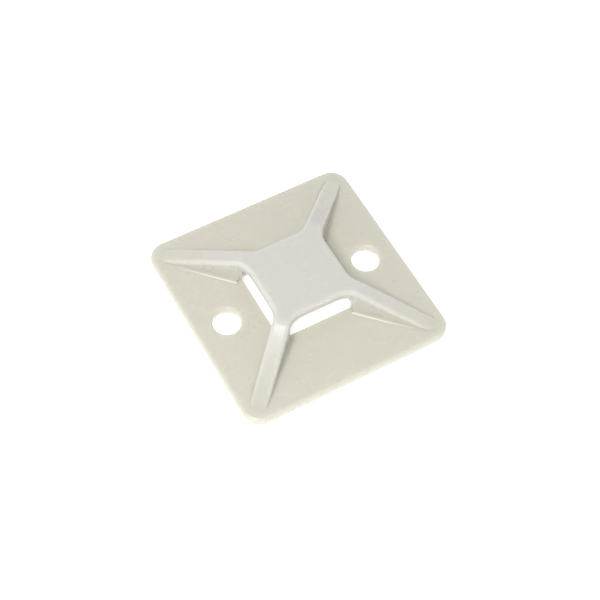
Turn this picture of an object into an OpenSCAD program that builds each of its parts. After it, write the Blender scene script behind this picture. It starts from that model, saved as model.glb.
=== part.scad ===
// Screw-down mount for cable ties, moulded in one piece of natural nylon.
// A flat square base carries a raised bridge on four sloping ribs, so that a
// tie can be threaded under the bridge from any side. Two screw holes hold it.
// Origin: centre of the underside. The screw holes lie on the X axis.

/* [Base] */
// Side of the square base
base_side = 28; // [26:0.5:36]
// Thickness of the base plate
base_t = 1.1; // [0.8:0.1:1.6]
// Radius of the base corners, seen from above
base_r = 2.3; // [1.5:0.1:3]
// Rounding of the rim's top edge
rim_r = 0.4; // [0.2:0.05:0.6]
// Side of the square opening under the bridge
opening_side = 10.6; // [10.4:0.1:11.4]
// Corner radius of that opening
opening_r = 0.5; // [0.3:0.1:1]

/* [Bridge] */
// Side of the square bridge
bridge_side = 10.4; // [9.6:0.1:10.4]
// Thickness of the bridge
bridge_t = 1.1; // [0.8:0.1:1.6]
// Height of the bridge's top above the underside
bridge_h = 5.1; // [4.6:0.1:6.5]
// Rounding along the top edges of the bridge and the ribs
edge_r = 0.5; // [0.3:0.05:0.6]

/* [Ribs] */
// Width of a rib
rib_w = 2.2; // [2:0.1:3]
// Radius of a rib's bend over the bridge's corner, seen from its side
bend_r = 3; // [1:0.5:6]
// Distance from the base's sharp corner to where a rib runs out
rib_end_gap = 2.4; // [1.6:0.1:4]
// Radius of the curve from a rib's side to the bridge's edge, seen from above
flare_r = 3; // [1.5:0.25:3.5]
// Radius of the fillet between the plate and what stands on it
foot_r = 0.5; // [0.3:0.05:0.7]
// Wall left round the hollow under a rib
wall_t = 0.7; // [0.6:0.05:0.9]

/* [Tie slots] */
// Width of a tie slot
slot_w = 8.9; // [7.5:0.1:9.2]

/* [Screw holes] */
// Distance between the two screw holes
hole_spacing = 19.6; // [19:0.1:20.5]
// Diameter of a screw hole
hole_d = 3.6; // [3.2:0.1:4]
// Width of the bevel round a screw hole
hole_bevel = 0.2; // [0.1:0.05:0.3]

/* [Hidden] */
$fn = 64;
nylon = [0.86, 0.86, 0.81];
// How far a cut runs past the surface that it opens
cut = 1;
// Overlap of solids that are joined inside the moulding
lap = 0.1;
// Steps along a flare, along the bend, and round an edge or a fillet
flare_steps = 5;
bend_steps = 4;
round_steps = 3;
half_base = base_side / 2;
half_bridge = bridge_side / 2;
under_bridge = bridge_h - bridge_t;
hole_r = hole_d / 2;
// Diagonal distances from the centre: the bridge's corner and a rib's foot
crest = half_bridge * sqrt(2);
foot = half_base * sqrt(2) - rib_end_gap;
// Fall of a rib from the bridge to the plate
slope = atan2(bridge_h - base_t, foot - crest);
// Diagonal distances at which the bend starts and ends
bend_start = crest - bend_r * tan(slope / 2);
bend_end = bend_start + bend_r * sin(slope);
// Centre of the flare between a side of the bridge and a rib
flare_x = half_bridge + flare_r;
flare_y = half_bridge - rib_w / sqrt(2) - flare_r * tan(22.5);
flare_end = (flare_x + flare_y) / sqrt(2);

// Four copies, one to each side or corner
module four() {
    for (turn = [0 : 90 : 270])
        rotate(turn)
            children();
}

// Square with round corners
module round_square(side, r) {
    square([side, side - 2 * r], center = true);
    square([side - 2 * r, side], center = true);
    four()
        translate([side / 2 - r, side / 2 - r])
            circle(r);
}

// Section of a bar with its top on the X axis and its two top edges round
module bar_section(width, depth, r) {
    translate([-width / 2, -depth])
        square([width, depth - r]);
    translate([r - width / 2, -depth])
        square([width - 2 * r, depth]);
    for (side = [-1, 1])
        translate([side * (width / 2 - r), -r])
            circle(r);
}

// The plate: two crossed bars and a round piece at each corner
module plate() {
    straight = base_side - 2 * base_r;
    for (turn = [0, 90])
        rotate(turn)
            translate([0, straight / 2, base_t])
                rotate([90, 0, 0])
                    linear_extrude(straight)
                        bar_section(base_side, base_t, rim_r);
    four()
        translate([straight / 2, straight / 2, 0])
            rotate_extrude()
                intersection() {
                    translate([0, base_t])
                        bar_section(2 * base_r, base_t, rim_r);
                    square([base_r, base_t]);
                }
}

// Height of the bridge and the ribs at a diagonal distance from the centre
function roof(distance) =
    distance <= bend_start ? bridge_h :
    distance < bend_end ? bridge_h - bend_r + sqrt(pow(bend_r, 2) - pow(distance - bend_start, 2)) :
    bridge_h - (distance - crest) * tan(slope);

// Diagonal distance at which that height, lowered by a depth, is reached
function roof_end(z, depth) = crest + (bridge_h - z - depth / cos(slope)) / tan(slope);

// Diagonal distances of the stations along one side of a rib
flare_start = flare_end - (flare_r + edge_r) * cos(45);
stations = concat(
    [for (i = [0 : flare_steps - 1]) flare_start + (bend_start - flare_start) * i / flare_steps],
    [for (i = [0 : bend_steps]) bend_start + (bend_end - bend_start) * i / bend_steps],
    [foot + 5 * lap]
);
last = len(stations) - 1;

// Plan of a rib's side at a station, the given distance out from its wall
function side_point(i, out) =
    stations[i] < flare_end
    ? let (angle = 45 + acos((stations[i] - flare_end) / (flare_r + edge_r)))
      [flare_x, flare_y] + (flare_r - out) * [cos(angle), sin(angle)]
    : (stations[i] * [1, 1] + (rib_w / 2 + out) * [1, -1]) / sqrt(2);

// Height of the wall at a station, the radius of its fillet and the fillet's foot
function wall_top(i) = roof(max(stations[i], flare_start)) - edge_r;
function fillet_r(i) = max(lap, min(foot_r, 0.8 * (wall_top(i) - base_t)));
function fillet_z(i) = min(base_t - lap / 5, wall_top(i) - 1.25 * fillet_r(i));

// One point of the section across the wall at a station: first the base inside
// the plate, then the fillet, then the round edge
function wall_point(i, level) =
    level == 0 ? [fillet_r(i) + 3 * lap, lap] :
    level <= round_steps + 1
    ? let (turn = 90 * (1 - (level - 1) / round_steps))
      [fillet_r(i) * (1 - cos(turn)), fillet_z(i) + fillet_r(i) * (1 - sin(turn))]
    : let (turn = 90 * (level - round_steps - 2) / round_steps)
      [-edge_r * (1 - cos(turn)), -edge_r * (1 - sin(turn))];

// The same as a point in space, on the right of the rib that runs to +X +Y
function side_vertex(i, level) =
    let (section = wall_point(i, level))
    let (plan = side_point(i, section[0]))
    let (height = level <= round_steps + 1 ? section[1] : section[1] + roof((plan[0] + plan[1]) / sqrt(2)))
    [plan[0], plan[1], height];

function turned(point, quarter) =
    quarter == 0 ? point :
    turned([-point[1], point[0], point[2]], quarter - 1);

// All points at one level, anticlockwise round the four ribs
function ring(level) = [
    for (quarter = [0 : 3])
        for (k = [0 : 2 * last + 1])
            let (point = side_vertex(k <= last ? k : 2 * last + 1 - k, level))
                turned(k <= last ? point : [point[1], point[0], point[2]], quarter)
];

ring_size = 8 * (last + 1);
levels = 2 * round_steps + 3;

// Triangles between two rings
function wall_faces() = [
    for (level = [0 : levels - 2])
        for (k = [0 : ring_size - 1])
            for (half = [0, 1])
                let (a = level * ring_size + k, b = level * ring_size + (k + 1) % ring_size)
                    half == 0 ? [a, a + ring_size, b] : [b, a + ring_size, b + ring_size]
];

// Triangles that close a ring: a fan up to where the bend starts, then strips
// across the ribs
function cap_faces(level, centre) = concat(
    [
        for (quarter = [0 : 3])
            for (k = [0 : 2 * last + 1])
                let (start = level * ring_size + quarter * 2 * (last + 1))
                let (next = level * ring_size + (quarter * 2 * (last + 1) + k + 1) % ring_size)
                    if (k < flare_steps || k > 2 * last - flare_steps)
                        [centre, next, start + k]
    ],
    [
        for (quarter = [0 : 3])
            let (start = level * ring_size + quarter * 2 * (last + 1))
            let (across = start + 2 * last + 1)
                [centre, across - flare_steps, start + flare_steps]
    ],
    [
        for (quarter = [0 : 3])
            for (k = [flare_steps : last - 1])
                let (start = level * ring_size + quarter * 2 * (last + 1))
                let (across = start + 2 * last + 1)
                    for (half = [0, 1])
                        half == 0
                        ? [start + k, across - k, start + k + 1]
                        : [start + k + 1, across - k, across - k - 1]
    ]
);

// Ribs and bridge, still solid, with round top edges and a fillet at the foot
module raised() {
    centre = levels * ring_size;
    polyhedron(
        points = concat(
            [for (level = [0 : levels - 1]) each ring(level)],
            [[0, 0, bridge_h], [0, 0, lap]]
        ),
        faces = concat(
            wall_faces(),
            cap_faces(levels - 1, centre),
            [for (face = cap_faces(0, centre + 1)) [face[2], face[1], face[0]]]
        )
    );
}

// The square opening through the base, up to the bridge
module opening() {
    translate([0, 0, -cut])
        linear_extrude(under_bridge + cut)
            round_square(opening_side, opening_r);
}

// The slots through which a tie runs under the bridge, one pair each way
module tie_slots() {
    reach = slot_w / 2 + rib_w / sqrt(2) + lap;
    for (turn = [0, 90])
        rotate(turn)
            translate([-slot_w / 2, -reach, base_t])
                cube([slot_w, 2 * reach, under_bridge - base_t]);
}

// Hollow under one rib, open below and towards the opening
module rib_hollow() {
    top = under_bridge - lap;
    rotate([90, 0, 45])
        linear_extrude(rib_w - 2 * wall_t, center = true)
            polygon([
                [crest / 2, -cut],
                [roof_end(base_t, wall_t), -cut],
                [roof_end(base_t, wall_t), base_t],
                [roof_end(top, wall_t), top],
                [crest / 2, top]
            ]);
}

// The two screw holes, each with a bevelled rim
module screw_holes() {
    for (side = [-1, 1])
        translate([side * hole_spacing / 2, 0, 0]) {
            translate([0, 0, -cut])
                cylinder(h = base_t + 2 * cut, r = hole_r);
            translate([0, 0, base_t - hole_bevel])
                cylinder(h = hole_bevel + lap, r1 = hole_r, r2 = hole_r + hole_bevel + lap);
        }
}

module tie_mount() {
    color(nylon)
        difference() {
            union() {
                plate();
                raised();
            }
            opening();
            tie_slots();
            four()
                rib_hollow();
            screw_holes();
        }
}

tie_mount();
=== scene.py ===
"""Cable tie mount of natural nylon, with its stage."""

import math

import bmesh
import bpy
from mathutils import Matrix, Vector


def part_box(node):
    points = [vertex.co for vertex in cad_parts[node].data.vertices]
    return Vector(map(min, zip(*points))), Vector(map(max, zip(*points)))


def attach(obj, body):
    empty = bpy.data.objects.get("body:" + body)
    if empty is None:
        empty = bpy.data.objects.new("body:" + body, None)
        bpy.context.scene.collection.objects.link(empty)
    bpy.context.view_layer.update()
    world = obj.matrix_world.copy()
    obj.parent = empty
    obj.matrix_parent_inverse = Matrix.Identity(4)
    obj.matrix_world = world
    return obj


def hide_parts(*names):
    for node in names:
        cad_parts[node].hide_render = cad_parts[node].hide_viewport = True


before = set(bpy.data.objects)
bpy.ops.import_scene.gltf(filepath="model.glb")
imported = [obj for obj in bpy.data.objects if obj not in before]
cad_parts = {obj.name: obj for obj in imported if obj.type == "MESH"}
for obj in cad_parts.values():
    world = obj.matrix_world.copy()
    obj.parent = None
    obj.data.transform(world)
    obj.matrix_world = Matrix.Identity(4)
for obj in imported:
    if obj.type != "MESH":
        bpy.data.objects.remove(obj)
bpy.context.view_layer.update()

bl_info = {
    "name": "Cable Tie Mount",
    "version": (1, 0, 0),
    "blender": (4, 5, 0),
    "location": "View3D > Sidebar > Tie Mount",
    "description": "Builds a four-way cable tie mount of natural nylon",
    "category": "Object",
}

NODE = "tie_mount"
BODY = "root"
MM = 0.001
LOW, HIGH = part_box(NODE)
QUARTERS = 4
# Overlap of solids that are joined, and how far a cut runs past a surface
LAP = 0.1 * MM
CUT = 1 * MM
# Steps along a flare, along the bend, and where a rib fades into the plate
FLARE_STEPS = 14
BEND_STEPS = 8
FADE_STEPS = 4
# Steps round an edge or a fillet, a corner in plan, a hole and a soft edge
ROUND_STEPS = 6
CORNER_STEPS = 14
HOLE_STEPS = 72
SOFT_STEPS = 2
# Two vertices nearer than this are one
WELD = 0.002 * MM
# Faces that meet at less than the first angle are one, at more than the second
# they make a sharp edge
FLAT = math.radians(0.3)
SHARP = math.radians(36)
# Shift of the noise, so that none of its lattice planes lies in the mount's own
NOISE_SHIFT = (0.013, -0.007, 0.004)
# Noise scales, in blotches per metre
CLOUD_SCALE = 330.0
GRAIN_SCALE = 5200.0
SWELL_SCALE = 420.0
# Height of the surface relief, and how much the swell outweighs the grain in it
RELIEF = 0.02 * MM
SWELL_WEIGHT = 1.5
# Change of roughness from the clearest to the cloudiest nylon
ROUGHNESS_RANGE = 0.10
# The floor's half side in metres, and its gap under the mount
FLOOR_REACH = 1.5
FLOOR_GAP = 0.02 * MM
# Diameter, direction and distance of each lamp, in metres
LAMPS = {
    "key": (0.08, (-0.45, -0.32, 0.84), 0.22),
    "glint": (0.03, (-0.32, -0.13, 0.95), 0.25),
}
# The camera's sensor in millimetres, and its clipping distances in metres
SENSOR_WIDTH = 36
CLIP_START, CLIP_END = 0.005, 10


def length(name, description, millimetres, lowest=0.0):
    """A size in metres, shown in the scene's length unit."""
    return bpy.props.FloatProperty(
        name=name,
        description=description,
        default=millimetres * MM,
        min=lowest * MM,
        unit="LENGTH",
        subtype="DISTANCE",
        precision=5,
    )


def colour(name, description, value):
    """A linear colour."""
    return bpy.props.FloatVectorProperty(
        name=name,
        description=description,
        default=value,
        size=3,
        min=0.0,
        max=1.0,
        subtype="COLOR",
    )


def number(name, description, value, most=1.0):
    """A plain number from zero up."""
    return bpy.props.FloatProperty(
        name=name, description=description, default=value, min=0.0, max=most
    )


def turn(name, description, degrees):
    """An angle, shown in degrees."""
    return bpy.props.FloatProperty(
        name=name, description=description, default=math.radians(degrees), subtype="ANGLE"
    )


class MountSizes(bpy.types.PropertyGroup):
    """Sizes of the moulding."""

    side: length("Side", "Side of the square plate", (HIGH.x - LOW.x) / MM)
    height: length("Height", "Height of the bridge's top over the underside", (HIGH.z - LOW.z) / MM)
    plate_t: length("Plate thickness", "Thickness of the plate", 1.1)
    corner_r: length("Corner radius", "Radius of the plate's corners, seen from above", 2.3)
    rim_r: length("Rim radius", "Rounding of the plate's top edge", 0.4)
    opening_side: length("Opening", "Side of the square opening under the bridge", 10.6)
    opening_r: length("Opening radius", "Radius of the opening's corners", 0.5)
    bridge_side: length("Bridge", "Side of the bridge", 10.4)
    bridge_t: length("Bridge thickness", "Thickness of the bridge", 1.1)
    edge_r: length("Edge radius", "Rounding of the top edges of the bridge and the ribs", 0.5)
    rib_w: length("Rib width", "Width of a rib", 2.2)
    bend_r: length("Bend radius", "Radius where the bridge bends down into a rib", 3.0)
    rib_end_gap: length("Rib end", "Distance from a rib's foot to the square's corner", 2.4)
    flare_r: length("Flare radius", "Radius between the bridge and a rib, seen from above", 3.0)
    foot_r: length("Foot fillet", "Radius between the plate and a rib", 0.5)
    wall_t: length("Wall", "Wall of a rib beside the hollow under it", 0.7)
    slot_w: length("Slot width", "Width of a tie slot", 8.9)
    hole_spacing: length("Hole spacing", "Distance between the screw holes", 19.6)
    hole_d: length("Hole diameter", "Diameter of a screw hole", 3.6)
    hole_bevel: length("Hole bevel", "Bevel round a screw hole", 0.2)
    soft_r: length("Soft edge", "Rounding that the mould leaves on its sharpest edges", 0.07)


class NylonLook(bpy.types.PropertyGroup):
    """Finish of the natural nylon."""

    # The plate's warmer colour is partly the look of thin nylon, partly painted light that shines
    # up through it from the floor
    thin_lit_through: colour("Thin nylon", "Colour of the plate, which lets light in", (0.605, 0.59, 0.515))
    thick: colour("Thick nylon", "Colour of the bridge and the ribs' tops", (0.605, 0.595, 0.56))
    roughness: number("Roughness", "Roughness of the satin surface", 0.28)
    milkiness: number("Milkiness", "Share of the light that scatters inside", 0.75)
    scatter: length("Scatter", "Distance that light travels inside", 1.2)
    cloud: number("Cloudiness", "Strength of the cloudy change of colour", 0.10)
    grain: number("Grain", "Strength of the fine surface grain", 0.12)


class StageLook(bpy.types.PropertyGroup):
    """Floor, light and camera."""

    floor: colour("Floor", "Colour of the floor", (0.90, 0.90, 0.90))
    floor_glow: number("Floor glow", "Light that the floor gives off", 0.5, 5.0)
    ambient: number("Ambient", "Strength of the light from all round", 0.62, 5.0)
    key: number("Key light", "Power of the soft light overhead, in watts", 0.25, 100.0)
    glint: number("Glint light", "Power of the small light on one rib, in watts", 0.09, 100.0)
    azimuth: turn("Azimuth", "Turn of the camera round the mount", -33.286)
    elevation: turn("Elevation", "Height of the camera above the horizon", 57.974)
    roll: turn("Roll", "Tilt of the camera about its line of sight", -4.563)
    distance: length("Distance", "Distance from the camera to the mount", 180.14)
    aim_right: length("Aim right", "Aim to the right of the mount's middle", 0.394, -10.0)
    aim_up: length("Aim up", "Aim above the mount's middle", -0.742, -10.0)
    lens: number("Lens", "Focal length in millimetres", 87.38, 500.0)


class Rib:
    """Plan and section of a rib and a quarter of the bridge.

    Stations run along one side of the rib that points to +X +Y, from the
    bridge's side to the rib's end. Distances are measured along that diagonal.
    """

    def __init__(self, s):
        self.s = s
        self.top = s.height
        self.base = s.plate_t
        half_bridge = s.bridge_side / 2
        self.crest = half_bridge * math.sqrt(2)
        self.foot = s.side / 2 * math.sqrt(2) - s.rib_end_gap
        self.fall = (self.top - self.base) / (self.foot - self.crest)
        self.slope = math.atan(self.fall)
        self.bend_start = self.crest - s.bend_r * math.tan(self.slope / 2)
        self.bend_end = self.bend_start + s.bend_r * math.sin(self.slope)
        tangent = s.flare_r * math.tan(math.pi / 8)
        # Centre of the flare's arc, in plan
        self.flare = Vector(
            (half_bridge + s.flare_r, half_bridge - s.rib_w / math.sqrt(2) - tangent)
        )
        self.flare_end = (self.flare.x + self.flare.y) / math.sqrt(2)
        self.flare_start = self.flare_end - (s.flare_r + s.edge_r) * math.cos(math.pi / 4)
        step = (self.bend_start - self.flare_start) / FLARE_STEPS
        self.stations = [self.flare_start + step * i for i in range(FLARE_STEPS)]
        step = (self.bend_end - self.bend_start) / BEND_STEPS
        self.stations += [self.bend_start + step * i for i in range(BEND_STEPS + 1)]
        # The last stretch is where the rounding and the fillet shrink to nothing
        fade = self.foot - (s.edge_r + s.foot_r) / self.fall
        self.stations += [(self.bend_end + fade) / 2, fade]
        steps = range(1, FADE_STEPS + 1)
        self.stations += [fade + (self.foot - fade) * i / FADE_STEPS for i in steps]
        self.stations.append(self.foot + 5 * LAP)

    def roof(self, distance):
        """Height of the bridge and the rib at a distance from the centre."""
        if distance <= self.bend_start:
            return self.top
        if distance < self.bend_end:
            along = distance - self.bend_start
            return self.top - self.s.bend_r + math.sqrt(self.s.bend_r**2 - along**2)
        return self.top - (distance - self.crest) * self.fall

    def plan(self, station, out):
        """Point at a station, the given distance out from the wall."""
        if station < self.flare_end:
            reach = self.s.flare_r + self.s.edge_r
            angle = math.pi / 4 + math.acos((station - self.flare_end) / reach)
            ray = Vector((math.cos(angle), math.sin(angle)))
            return self.flare + ray * (self.s.flare_r - out)
        across = self.s.rib_w / 2 + out
        return Vector((station + across, station - across)) / math.sqrt(2)

    def section(self, station):
        """Points of the wall from inside the plate over the fillet to the
        round edge, as (distance out, height, whether it hangs from the roof)."""
        s = self.s
        wall_top = self.roof(station) - s.edge_r
        # The fillet takes at most this share of the wall, and never quite vanishes
        share, least = 0.8, 0.6 * LAP
        fillet = max(least, min(s.foot_r, share * (wall_top - self.base)))
        # It starts just inside the plate, and sinks there where the rib fades
        foot = min(self.base - 0.1 * LAP, wall_top - fillet / share)
        points = [(fillet + 3 * LAP, LAP, False)]
        for i in range(ROUND_STEPS + 1):
            angle = math.pi / 2 * (1 - i / ROUND_STEPS)
            out, up = fillet * (1 - math.cos(angle)), fillet * (1 - math.sin(angle))
            points.append((out, foot + up, False))
        for i in range(ROUND_STEPS + 1):
            angle = math.pi / 2 * i / ROUND_STEPS
            out, up = -s.edge_r * (1 - math.cos(angle)), -s.edge_r * (1 - math.sin(angle))
            points.append((out, up, True))
        return points

    def point(self, index, level):
        """Point in space at a station and a level of the section."""
        station = self.stations[index]
        out, height, hangs = self.section(station)[level]
        plan = self.plan(station, out)
        if hangs:
            height += self.roof((plan.x + plan.y) / math.sqrt(2))
        return Vector((plan.x, plan.y, height))


def mesh_from(bm, name):
    """Closes the bmesh's seams, turns its faces outwards and makes it a mesh."""
    bmesh.ops.remove_doubles(bm, verts=bm.verts, dist=WELD)
    bmesh.ops.recalc_face_normals(bm, faces=bm.faces)
    mesh = bpy.data.meshes.new(name)
    bm.to_mesh(mesh)
    bm.free()
    return mesh


def put(name, mesh):
    """Puts a mesh into the scene as an object."""
    made = bpy.data.objects.new(name, mesh)
    bpy.context.scene.collection.objects.link(made)
    return made


def round_edges(bm, edges, radius, steps):
    """Rounds edges of a bmesh to a radius."""
    bmesh.ops.bevel(
        bm, geom=edges, affect="EDGES", offset=radius, segments=steps, profile=0.5, material=-1
    )


def block(low, high, upright_r=0.0, steps=1):
    """A box between two corners, with its upright edges round."""
    low, high = Vector(low), Vector(high)
    bm = bmesh.new()
    bmesh.ops.create_cube(bm, size=1)
    bmesh.ops.scale(bm, verts=bm.verts, vec=high - low)
    bmesh.ops.translate(bm, verts=bm.verts, vec=(high + low) / 2)
    if upright_r:
        middle = (high.z + low.z) / 2
        upright = [
            e for e in bm.edges if (e.verts[0].co.z > middle) != (e.verts[1].co.z > middle)
        ]
        round_edges(bm, upright, upright_r, steps)
    return bm


def make_plate(s):
    """The plate, with round corners and a round top edge."""
    half = s.side / 2
    bm = block((-half, -half, 0), (half, half, s.plate_t), s.corner_r, CORNER_STEPS)
    rim = [e for e in bm.edges if all(v.co.z > s.plate_t / 2 for v in e.verts)]
    round_edges(bm, rim, s.rim_r, ROUND_STEPS)
    return mesh_from(bm, "plate")


def make_raised(s):
    """The bridge and the ribs, solid, grown level by level from their plan."""
    rib = Rib(s)
    side = len(rib.stations)
    # A quarter runs out along one side of its rib and back along the other
    both = 2 * side
    levels = len(rib.section(rib.stations[0]))
    bm = bmesh.new()
    order = bm.verts.layers.int.new("order")
    start = bmesh.ops.create_circle(bm, radius=s.side / 2, segments=both * QUARTERS)["verts"]
    for i, v in enumerate(sorted(start, key=lambda v: math.atan2(v.co.y, v.co.x) % math.tau)):
        v[order] = i

    def place(verts, level):
        for v in verts:
            quarter, k = divmod(v[order], both)
            point = rib.point(min(k, both - 1 - k), level)
            if k >= side:
                point.x, point.y = point.y, point.x
            v.co = Matrix.Rotation(quarter * math.pi / 2, 3, "Z") @ point

    place(start, 0)
    edges = list(bm.edges)
    for level in range(1, levels):
        grown = bmesh.ops.extrude_edge_only(bm, edges=edges)["geom"]
        verts = [g for g in grown if isinstance(g, bmesh.types.BMVert)]
        place(verts, level)
        new = set(verts)
        edges = [g for g in grown if isinstance(g, bmesh.types.BMEdge) and new.issuperset(g.verts)]
    # Strips across each rib, from where the bend starts to the rib's end, without
    # the edge that runs across that end
    for quarter in range(QUARTERS):
        chain = []
        for edge in edges:
            turns = [v[order] - quarter * both for v in edge.verts]
            stations = [min(k, both - 1 - k) for k in turns if 0 <= k < both]
            if len(stations) == 2 and min(stations) >= FLARE_STEPS and sum(turns) != both - 1:
                chain.append(edge)
        bmesh.ops.bridge_loops(bm, edges=chain)
    # What is left open is the bridge's top and the underside
    bmesh.ops.holes_fill(bm, edges=bm.edges, sides=0)
    return mesh_from(bm, "raised")


def make_hollows(s):
    """Cutters for the hollows under the ribs."""
    rib = Rib(s)
    top = s.height - s.bridge_t - LAP

    def end(z):
        """Where a hollow ends at a height, a wall's thickness under the rib's top."""
        return rib.crest + (rib.top - z - s.wall_t / math.cos(rib.slope)) / rib.fall

    half = s.rib_w / 2 - s.wall_t
    # Inside the opening, so that the hollow runs out into it
    start = rib.crest / 2
    outline = [
        (start, -CUT),
        (end(rib.base), -CUT),
        (end(rib.base), rib.base),
        (end(top), top),
        (start, top),
    ]
    bm = bmesh.new()
    for quarter in range(QUARTERS):
        spin = Matrix.Rotation(math.pi / 4 + quarter * math.pi / 2, 4, "Z")
        face = bm.faces.new([bm.verts.new(spin @ Vector((x, -half, z))) for x, z in outline])
        grown = bmesh.ops.extrude_face_region(bm, geom=[face])["geom"]
        verts = [g for g in grown if isinstance(g, bmesh.types.BMVert)]
        bmesh.ops.translate(bm, verts=verts, vec=spin.to_3x3() @ Vector((0, 2 * half, 0)))
    return mesh_from(bm, "hollows")


def make_holes(s):
    """Cutters for the screw holes, turned from their section."""
    r = s.hole_d / 2
    wide, above = r + s.hole_bevel + LAP, s.plate_t + LAP
    section = [
        (0, -CUT),
        (r, -CUT),
        (r, s.plate_t - s.hole_bevel),
        (wide, above),
        (0, above),
    ]
    bm = bmesh.new()
    for side in (-1, 1):
        centre = Vector((side * s.hole_spacing / 2, 0, 0))
        verts = [bm.verts.new(centre + Vector((x, 0, z))) for x, z in section]
        edges = [bm.edges.new(pair) for pair in zip(verts, verts[1:])]
        bmesh.ops.spin(
            bm,
            geom=verts + edges,
            cent=centre,
            axis=(0, 0, 1),
            angle=math.tau,
            steps=HOLE_STEPS,
            use_merge=True,
        )
    return mesh_from(bm, "holes")


def cut(mesh_object, operation, tool_meshes):
    """Joins the tool meshes to an object, or cuts them out of it, for good."""
    tools = []
    for mesh in tool_meshes:
        tool = put(mesh.name, mesh)
        tools.append(tool)
        step = mesh_object.modifiers.new(mesh.name, "BOOLEAN")
        step.operation = operation
        step.solver = "EXACT"
        step.object = tool
    bpy.context.view_layer.update()
    depsgraph = bpy.context.evaluated_depsgraph_get()
    result = bpy.data.meshes.new_from_object(mesh_object.evaluated_get(depsgraph))
    mesh_object.modifiers.clear()
    mesh_object.data = result
    for tool in tools:
        bpy.data.objects.remove(tool)


def soften(mesh_object, radius):
    """Merges what the cuts left double and rounds the sharp edges slightly."""
    bm = bmesh.new()
    bm.from_mesh(mesh_object.data)
    bmesh.ops.remove_doubles(bm, verts=bm.verts, dist=WELD)
    bmesh.ops.dissolve_degenerate(bm, edges=bm.edges, dist=WELD)
    bmesh.ops.dissolve_limit(
        bm, angle_limit=FLAT, verts=bm.verts, edges=bm.edges, delimit={"NORMAL"}
    )
    sharp = [e for e in bm.edges if e.is_manifold and e.calc_face_angle(0) > SHARP]
    bmesh.ops.bevel(
        bm,
        geom=sharp,
        affect="EDGES",
        offset=radius,
        segments=SOFT_STEPS,
        profile=0.5,
        material=-1,
        clamp_overlap=True,
    )
    for face in bm.faces:
        face.smooth = True
    bm.to_mesh(mesh_object.data)
    bm.free()
    mesh_object.data.set_sharp_from_angle(angle=SHARP)
    even = mesh_object.modifiers.new("even_normals", "WEIGHTED_NORMAL")
    even.keep_sharp = True


class Wire:
    """An output socket of a material. Arithmetic on it adds Math nodes."""

    def __init__(self, tree, socket=None):
        self.tree = tree
        self.socket = socket

    def node(self, kind, settings, sockets, output=0):
        """Adds a node, makes its settings, then fills its sockets."""
        made = self.tree.nodes.new(kind)
        for name, value in settings.items():
            setattr(made, name, value)
        for name, value in sockets.items():
            if isinstance(value, Wire):
                self.tree.links.new(value.socket, made.inputs[name])
            else:
                made.inputs[name].default_value = value
        return Wire(self.tree, made.outputs[output] if made.outputs else None)

    def math(self, operation, first, second):
        """Adds a Math node with two inputs."""
        return self.node("ShaderNodeMath", {"operation": operation}, {0: first, 1: second})

    def __add__(self, other):
        return self.math("ADD", self, other)

    def __radd__(self, other):
        return self.math("ADD", other, self)

    def __sub__(self, other):
        return self.math("SUBTRACT", self, other)

    def __rsub__(self, other):
        return self.math("SUBTRACT", other, self)

    def __mul__(self, other):
        return self.math("MULTIPLY", self, other)

    def __rmul__(self, other):
        return self.math("MULTIPLY", other, self)


def rgba(values):
    """A colour as a socket takes it, with no transparency."""
    return (*values, 1.0)


def nylon(look, sizes):
    """Milky natural nylon with a satin moulded surface."""
    material = bpy.data.materials.new("natural_nylon_finish")
    material.use_nodes = True
    tree = material.node_tree
    tree.nodes.clear()
    wire = Wire(tree)
    place = wire.node("ShaderNodeTexCoord", {}, {}, "Object")
    place = wire.node("ShaderNodeMapping", {}, {"Vector": place, "Location": NOISE_SHIFT})
    height = wire.node("ShaderNodeSeparateXYZ", {}, {0: place}, "Z")
    # From 0 on the plate to 1 on the bridge; where it is low, the colour takes in painted light
    # that shines up through the thin plate
    low, high = sizes.plate_t + NOISE_SHIFT[2], sizes.height + NOISE_SHIFT[2]
    rise = wire.node(
        "ShaderNodeMapRange",
        {"interpolation_type": "SMOOTHSTEP"},
        {"Value": height, "From Min": low, "From Max": high},
    )

    def noise(scale, detail):
        sockets = {"Vector": place, "Scale": scale, "Detail": detail}
        return wire.node("ShaderNodeTexNoise", {}, sockets)

    cloud = noise(CLOUD_SCALE, 3.0)
    grain = noise(GRAIN_SCALE, 2.0)
    swell = noise(SWELL_SCALE, 1.0)
    # Colour by height: partly the denser look of thick nylon, partly painted light shining up
    # through the thin plate; the cloud is the nylon's own uneven tone
    share = rise + (cloud - 0.5) * (2 * look.cloud)
    base = wire.node(
        "ShaderNodeMix",
        {"data_type": "RGBA", "clamp_factor": True},
        {0: share, 6: rgba(look.thin_lit_through), 7: rgba(look.thick)},
        2,
    )
    roughness = (cloud - 0.5) * ROUGHNESS_RANGE + look.roughness
    bumps = grain + swell * SWELL_WEIGHT
    relief = wire.node(
        "ShaderNodeBump", {}, {"Strength": look.grain, "Distance": RELIEF, "Height": bumps}
    )
    shader = wire.node(
        "ShaderNodeBsdfPrincipled",
        {"subsurface_method": "RANDOM_WALK"},
        {
            "Base Color": base,
            "Roughness": roughness,
            "IOR": 1.53,
            "Subsurface Weight": look.milkiness,
            "Subsurface Radius": (1.0, 1.0, 0.8),
            "Subsurface Scale": look.scatter,
            "Normal": relief,
        },
    )
    wire.node("ShaderNodeOutputMaterial", {}, {"Surface": shader})
    return material


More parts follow.
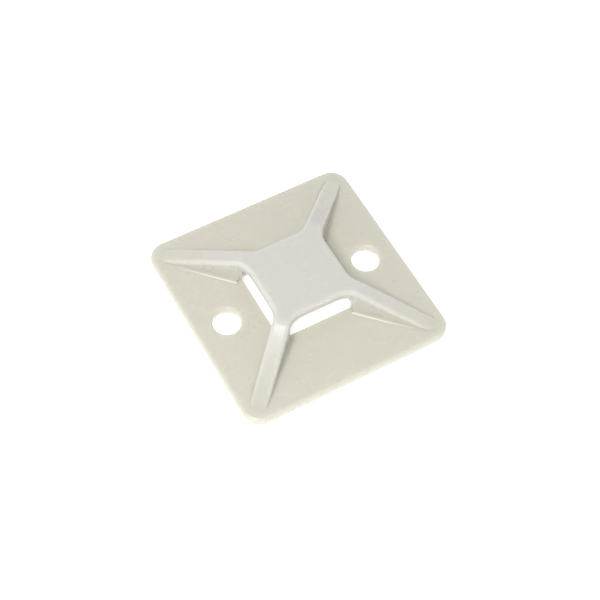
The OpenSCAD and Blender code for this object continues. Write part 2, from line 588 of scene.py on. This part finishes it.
class TIEMOUNT_OT_moulding(bpy.types.Operator):
    """Build the one-piece moulding: plate, ribs, bridge, slots and holes"""

    bl_idname = "tiemount.moulding"
    bl_label = "Moulding"

    def execute(self, context):
        s = context.scene.tiemount_sizes
        under = s.height - s.bridge_t
        half, slot = s.opening_side / 2, s.slot_w / 2
        # The slots' cutters end in the air beyond the ribs' walls
        reach = slot + s.rib_w / math.sqrt(2) + LAP
        opening = block((-half, -half, -CUT), (half, half, under), s.opening_r, ROUND_STEPS)
        slots = [
            block((-slot, -reach, s.plate_t), (slot, reach, under)),
            block((-reach, -slot, s.plate_t), (reach, slot, under)),
        ]
        cutters = [mesh_from(opening, "opening")]
        cutters += [mesh_from(bm, f"slots_{i}") for i, bm in enumerate(slots)]
        cutters += [make_hollows(s), make_holes(s)]
        moulding = put("mount_moulding", make_plate(s))
        cut(moulding, "UNION", [make_raised(s)])
        cut(moulding, "DIFFERENCE", cutters)
        soften(moulding, s.soft_r)
        if not moulding.data.polygons:
            raise RuntimeError("the cuts left nothing of the moulding")
        moulding.data.name = "mount_moulding"
        moulding.data.materials.clear()
        moulding.data.materials.append(nylon(context.scene.tiemount_nylon, s))
        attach(moulding, BODY)
        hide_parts(NODE)
        return {"FINISHED"}


class TIEMOUNT_OT_stage(bpy.types.Operator):
    """Set up the pale floor, the soft light and the camera"""

    bl_idname = "tiemount.stage"
    bl_label = "Stage"

    def execute(self, context):
        scene = context.scene
        look = scene.tiemount_stage
        self.floor(look)
        self.light(scene, look)
        self.camera(scene, look)
        scene.view_settings.view_transform = "Standard"
        return {"FINISHED"}

    def floor(self, look):
        """A wide matt floor that glows like a lit backdrop."""
        bm = bmesh.new()
        bmesh.ops.create_grid(bm, x_segments=1, y_segments=1, size=FLOOR_REACH)
        floor = put("floor", mesh_from(bm, "floor"))
        floor.location.z = -FLOOR_GAP
        material = bpy.data.materials.new("floor_finish")
        material.use_nodes = True
        finish = {
            "Base Color": rgba(look.floor),
            "Roughness": 0.9,
            "Specular IOR Level": 0.1,
            "Emission Color": rgba((1, 1, 1)),
            "Emission Strength": look.floor_glow,
        }
        for name, value in finish.items():
            material.node_tree.nodes["Principled BSDF"].inputs[name].default_value = value
        floor.data.materials.append(material)

    def light(self, scene, look):
        """White light from all round, and the lamps."""
        world = bpy.data.worlds.new("soft_box")
        world.use_nodes = True
        background = world.node_tree.nodes["Background"].inputs
        background["Color"].default_value = rgba((1, 1, 1))
        background["Strength"].default_value = look.ambient
        scene.world = world
        for name, (size, direction, distance) in LAMPS.items():
            self.lamp(scene, name, getattr(look, name), size, Vector(direction), distance)

    def lamp(self, scene, name, power, size, direction, distance):
        """A round lamp that faces the mount's middle."""
        data = bpy.data.lights.new(name, "AREA")
        data.shape = "DISK"
        data.size = size
        data.energy = power
        lamp = bpy.data.objects.new(name, data)
        lamp.location = direction.normalized() * distance
        lamp.rotation_euler = direction.to_track_quat("Z", "Y").to_euler()
        scene.collection.objects.link(lamp)

    def camera(self, scene, look):
        """The camera, turned and raised round the mount, then shifted and rolled."""
        data = bpy.data.cameras.new("camera")
        data.sensor_width = SENSOR_WIDTH
        data.lens = look.lens
        data.clip_start = CLIP_START
        data.clip_end = CLIP_END
        camera = bpy.data.objects.new("camera", data)
        flat = math.cos(look.elevation)
        back = Vector(
            (
                math.sin(look.azimuth) * flat,
                -math.cos(look.azimuth) * flat,
                math.sin(look.elevation),
            )
        )
        right = Vector((math.cos(look.azimuth), math.sin(look.azimuth), 0))
        up = back.cross(right)
        axes = Matrix((right, up, back)).transposed() @ Matrix.Rotation(-look.roll, 3, "Z")
        place = axes @ Vector((look.aim_right, look.aim_up, look.distance))
        camera.matrix_world = Matrix.Translation(place) @ axes.to_4x4()
        scene.collection.objects.link(camera)
        scene.camera = camera


class TIEMOUNT_PT_panel(bpy.types.Panel):
    """Sizes, finish and steps of the cable tie mount"""

    bl_idname = "TIEMOUNT_PT_panel"
    bl_label = "Cable Tie Mount"
    bl_space_type = "VIEW_3D"
    bl_region_type = "UI"
    bl_category = "Tie Mount"

    def draw(self, context):
        for group in GROUPS:
            values = getattr(context.scene, group)
            box = self.layout.box()
            for name in values.bl_rna.properties.keys():
                if name not in {"rna_type", "name"}:
                    box.prop(values, name)
        for operator in OPERATORS:
            self.layout.operator(operator.bl_idname)


OPERATORS = (TIEMOUNT_OT_moulding, TIEMOUNT_OT_stage)
GROUPS = {"tiemount_sizes": MountSizes, "tiemount_nylon": NylonLook, "tiemount_stage": StageLook}
CLASSES = (*GROUPS.values(), *OPERATORS, TIEMOUNT_PT_panel)


def register():
    """Registers the classes and hangs the property groups on the scene."""
    for each in CLASSES:
        bpy.utils.register_class(each)
    for name, group in GROUPS.items():
        setattr(bpy.types.Scene, name, bpy.props.PointerProperty(type=group))


def unregister():
    """Takes back what register() did."""
    for name in GROUPS:
        delattr(bpy.types.Scene, name)
    for each in reversed(CLASSES):
        bpy.utils.unregister_class(each)


def main():
    """Builds the moulding and its stage."""
    register()
    bpy.ops.tiemount.moulding()
    bpy.ops.tiemount.stage()


if __name__ == "__main__":
    main()
